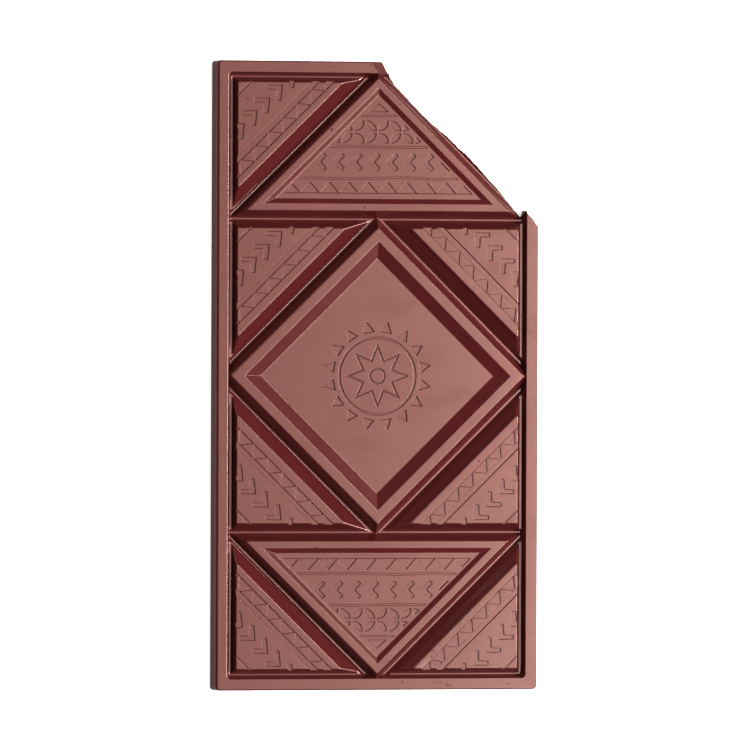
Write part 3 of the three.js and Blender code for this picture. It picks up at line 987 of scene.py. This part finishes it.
def blend(tree, share, first, second):
    """Mixes two colours. Each may be a socket or a plain colour."""
    mix = tree.nodes.new("ShaderNodeMix")
    mix.data_type = "RGBA"
    factor = [s for s in mix.inputs if s.name == "Factor" and s.type == "VALUE"][0]
    colours = [s for s in mix.inputs if s.type == "RGBA"]
    for socket, value in zip((factor, *colours), (share, first, second)):
        if isinstance(value, bpy.types.NodeSocket):
            tree.links.new(value, socket)
        elif isinstance(value, tuple):
            socket.default_value = (*value, 1)
        else:
            socket.default_value = value
    return [s for s in mix.outputs if s.type == "RGBA"][0]


# %% Cocoa tone
CLOUD_SIZE = 16
SPECK_SIZE = 0.38


def make_cocoa_tone():
    """Soft clouds and fine specks over a plain colour."""
    sockets = [("Color", "NodeSocketColor"), ("Clouds", "NodeSocketFloat"), ("Specks", "NodeSocketFloat")]
    group, given, result = new_group("cocoa_tone", sockets, [("Color", "NodeSocketColor")])
    at = in_millimetres(group)
    cloud = spread_out(group, noise_at(group, at, CLOUD_SIZE, detail=3), 0.32, 0.68, -1, 1)
    speck = spread_out(group, noise_at(group, at, SPECK_SIZE, detail=2), 0.3, 0.7, -1, 1)
    cloudy = calculate(group, "MULTIPLY", cloud, given.outputs["Clouds"])
    speckled = calculate(group, "MULTIPLY", speck, given.outputs["Specks"])
    gain = calculate(group, "ADD", 1.0, calculate(group, "ADD", cloudy, speckled))
    scaled = group.nodes.new("ShaderNodeVectorMath")
    scaled.operation = "SCALE"
    group.links.new(given.outputs["Color"], scaled.inputs["Vector"])
    group.links.new(gain, scaled.inputs["Scale"])
    group.links.new(scaled.outputs["Vector"], result.inputs["Color"])
    return group


cocoa_tone = make_cocoa_tone()


# %% Uneven set
DIP_SIZE = 9


def make_uneven_set():
    """The height of the surface: slow dips where the bar shrank, and the fine grain on them."""
    sockets = [("Dips", "NodeSocketFloat"), ("Grain", "NodeSocketFloat"), ("Grain Size", "NodeSocketFloat")]
    group, given, result = new_group("uneven_set", sockets, [("Height", "NodeSocketFloat")])
    at = in_millimetres(group)
    dips = calculate(group, "MULTIPLY", noise_at(group, at, DIP_SIZE, detail=1), given.outputs["Dips"])
    fine = group.nodes.new("ShaderNodeTexNoise")
    fine.inputs["Detail"].default_value = 2
    group.links.new(at, fine.inputs["Vector"])
    group.links.new(calculate(group, "DIVIDE", 1.0, given.outputs["Grain Size"]), fine.inputs["Scale"])
    grain = calculate(group, "MULTIPLY", fine.outputs["Fac"], given.outputs["Grain"])
    group.links.new(calculate(group, "ADD", dips, grain), result.inputs["Height"])
    return group


uneven_set = make_uneven_set()
print("node groups:", [group.name for group in bpy.data.node_groups])

# %% [markdown]
# ## The moulded face
#
# Well tempered chocolate takes the shine of its mould. It isn't metal and isn't lacquered: it has
# one soft highlight. A Principled material shows that with a low roughness, and a warm specular
# tint gives the flats their dusty pink. Some parts of a mould are better polished than others, so
# slow smears lower the roughness a little in places. Where one wall is seen in another it is made
# much duller. Sharp second reflections would brighten the walls that face away from the light, and
# it is their darkness that makes the pattern readable. The bump is measured in micrometres, as more
# than that would look like orange peel.

# %% Placing a group and a bump
def finish_nodes(material):
    material.use_nodes = True
    tree = material.node_tree
    return tree, tree.nodes["Principled BSDF"]


def place_group(tree, group, **values):
    node = tree.nodes.new("ShaderNodeGroup")
    node.node_tree = group
    for label, value in values.items():
        node.inputs[label.replace("_", " ")].default_value = value
    return node


def bump(tree, shader, height):
    """Bumps a shader by a height in millimetres."""
    node = tree.nodes.new("ShaderNodeBump")
    node.inputs["Strength"].default_value = 1.0
    node.inputs["Distance"].default_value = MM
    tree.links.new(height, node.inputs["Height"])
    tree.links.new(node.outputs["Normal"], shader.inputs["Normal"])


# %% Moulded face
FACE_COLOUR = (0.0415, 0.0052, 0.0057)
FACE_ROUGHNESS = 0.22
COCOA_BUTTER = (1, 0.585, 0.48)
SHINE = 0.85
SMEARS = {"turn": 28, "stretch": (1, 2.2, 1), "size": 13}
POLISHED = 0.03  # how much smoother the best polished parts are
GLIMPSED_DULLER = 0.68  # how much rougher a wall is when it is seen in another one
tree, shader = finish_nodes(moulded_face)
tone = place_group(tree, cocoa_tone, Color=(*FACE_COLOUR, 1), Clouds=0.07, Specks=0.012)
height = place_group(tree, uneven_set, Dips=0.012, Grain=0.0006, Grain_Size=0.5)
smeared = in_millimetres(tree, SMEARS["turn"], SMEARS["stretch"])
smears = noise_at(tree, smeared, SMEARS["size"], detail=4)
polish = spread_out(tree, smears, 0.52, 0.74, FACE_ROUGHNESS, FACE_ROUGHNESS - POLISHED)
glimpsed = tree.nodes.new("ShaderNodeLightPath").outputs["Is Glossy Ray"]
dull = spread_out(tree, glimpsed, 0, 1, 0, GLIMPSED_DULLER)
tree.links.new(calculate(tree, "ADD", polish, dull), shader.inputs["Roughness"])
tree.links.new(tone.outputs["Color"], shader.inputs["Base Color"])
bump(tree, shader, height.outputs["Height"])
shader.inputs["Specular Tint"].default_value = (*COCOA_BUTTER, 1)
shader.inputs["Specular IOR Level"].default_value = SHINE
print("moulded face:", len(tree.nodes), "nodes")

# %% [markdown]
# ## The fracture and the poured back
#
# Where the bar is broken its inside shows: lighter, redder and without any shine, because the light
# scatters from sugar and cocoa grains. The back never touched the mould. It was poured and scraped,
# so it is flat as a whole but satin and a little wavy. Both finishes use the same two groups with
# stronger values.

# %% Fracture and back
FRACTURE_COLOUR = (0.15, 0.042, 0.022)
tree, shader = finish_nodes(fracture)
tone = place_group(tree, cocoa_tone, Color=(*FRACTURE_COLOUR, 1), Clouds=0.12, Specks=0.28)
height = place_group(tree, uneven_set, Dips=0.03, Grain=0.07, Grain_Size=0.3)
tree.links.new(tone.outputs["Color"], shader.inputs["Base Color"])
bump(tree, shader, height.outputs["Height"])
shader.inputs["Roughness"].default_value = 0.7
shader.inputs["Specular Tint"].default_value = (*COCOA_BUTTER, 1)
shader.inputs["Specular IOR Level"].default_value = 0.2

BACK_COLOUR = (0.08, 0.0135, 0.0145)
tree, shader = finish_nodes(poured_back)
tone = place_group(tree, cocoa_tone, Color=(*BACK_COLOUR, 1), Clouds=0.12, Specks=0.08)
height = place_group(tree, uneven_set, Dips=0.09, Grain=0.008, Grain_Size=0.6)
tree.links.new(tone.outputs["Color"], shader.inputs["Base Color"])
bump(tree, shader, height.outputs["Height"])
shader.inputs["Roughness"].default_value = 0.36
shader.inputs["Specular Tint"].default_value = (*COCOA_BUTTER, 1)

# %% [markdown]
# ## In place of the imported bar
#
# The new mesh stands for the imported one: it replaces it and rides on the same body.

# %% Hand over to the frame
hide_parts("chocolate_bar")
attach(bar, "root")

# %% [markdown]
# ## The camera
#
# The bar is seen from almost straight above, a little from its left side, through a long lens, so
# its sides stay nearly parallel and only the left wall shows. The camera's place is built up from
# turns about the middle of the face, which is easier to adjust than a position and three angles.

# %% Camera
VIEW_TILT = math.radians(8.829)
VIEW_NOD = math.radians(0.327)
VIEW_ROLL = math.radians(0.212)
VIEW_DISTANCE = 1.4156
VIEW_SLIDE = (-0.00138, 0.00095)
camera_data = bpy.data.cameras.new("camera")
camera_data.sensor_width = 36
camera_data.lens = 286.84
camera = bpy.data.objects.new("camera", camera_data)
turns = ((-VIEW_TILT, "Y"), (-VIEW_NOD, "X"), (VIEW_ROLL, "Z"))
placing = Matrix.Translation((0, 0, BORDER_TOP * MM))
for angle, axis in turns:
    placing = placing @ Matrix.Rotation(angle, 4, axis)
camera.matrix_world = placing @ Matrix.Translation((*VIEW_SLIDE, VIEW_DISTANCE))
bpy.context.scene.collection.objects.link(camera)
bpy.context.scene.camera = camera

# %% [markdown]
# ## A pale table and soft light
#
# The bar lies on a plain white table. A glossy dark thing shows its lights more than its own
# colour, so the lights are what draws the relief. Most are soft boxes on the right. Two keys are
# mirrored by the slopes and rounded edges that face them, and two veils nearer to straight up are
# mirrored by the flat faces. The one by the near right corner is slightly blue, as light from a
# window is. The slopes that face left fall dark, and the pattern reads. Weak boxes above and at the
# back left lift the rest. The table is white to look at, but what it gives the bar is dimmer and
# warmer, or the white would wash out the steep walls. It also glows, so that the bar's
# shadow on it stays pale. The grooves of a real bar stay wine red where no light shines straight
# in. Scattering inside the material was tried for that, but it left the grooves as dark and dimmed
# the lit slopes, so a low fill from the left does it. The fill lights the chocolate but isn't
# mirrored in it, or it would draw bright lines of its own.

# %% Table
TABLE = {"to_the_bar": (0.15, 0.1, 0.09), "to_the_eye": (0.9, 0.9, 0.9)}
GLOW = {"to_the_bar": (0.22, 0.17, 0.155), "to_the_eye": (0.7, 0.7, 0.7)}
bpy.ops.mesh.primitive_plane_add(size=3)
table = bpy.context.object
table.name = "table"
paper = bpy.data.materials.new("white_table")
tree, shader = finish_nodes(paper)
seen = tree.nodes.new("ShaderNodeLightPath").outputs["Is Camera Ray"]
for colours, socket in ((TABLE, "Base Color"), (GLOW, "Emission Color")):
    both = blend(tree, seen, colours["to_the_bar"], colours["to_the_eye"])
    tree.links.new(both, shader.inputs[socket])
shader.inputs["Emission Strength"].default_value = 1.0
shader.inputs["Roughness"].default_value = 0.9
shader.inputs["Specular IOR Level"].default_value = 0.0
table.data.materials.append(paper)


# %% Lights
WHITE = (1, 1, 1)
SKY = (0.66, 0.9, 1)
SOFT_BOXES = {  # degrees from straight up and round from X, length, width, watts and colour
    "upper_key": (45, 0, 0.4, 0.16, 25.7, WHITE),
    "lower_key": (56, -3, 0.6, 0.36, 11.9, WHITE),
    "veil": (22, 0, 0.5, 0.16, 8.6, WHITE),
    "corner_veil": (24, -40, 0.2, 0.2, 2.4, SKY),
    "overhead": (8, 0, 0.7, 0.25, 1.2, WHITE),
    "back_left": (61, 135, 0.3, 0.3, 1.0, WHITE),
    "groove_fill": (66, 180, 0.6, 0.3, 5.5, WHITE),
}
LIGHT_DISTANCE = 1.1


def soft_box(name, lean, way_round, length, width, watts, colour):
    lamp = bpy.data.lights.new(name, "AREA")
    lamp.shape = "RECTANGLE"
    lamp.size = length
    lamp.size_y = width
    lamp.energy = watts
    lamp.color = colour
    box = bpy.data.objects.new(name, lamp)
    out, up = math.sin(math.radians(lean)), math.cos(math.radians(lean))
    round_ = math.radians(way_round)
    towards = Vector((out * math.cos(round_), out * math.sin(round_), up))
    box.location = towards * LIGHT_DISTANCE
    box.rotation_euler = towards.to_track_quat("Z", "Y").to_euler()
    bpy.context.scene.collection.objects.link(box)
    return box


soft_boxes = {name: soft_box(name, *values) for name, values in SOFT_BOXES.items()}
soft_boxes["groove_fill"].visible_glossy = False
world = bpy.data.worlds.new("studio")
bpy.context.scene.world = world
world.use_nodes = True
world.node_tree.nodes["Background"].inputs["Color"].default_value = (0, 0, 0, 1)
bpy.context.scene.view_settings.view_transform = "Standard"
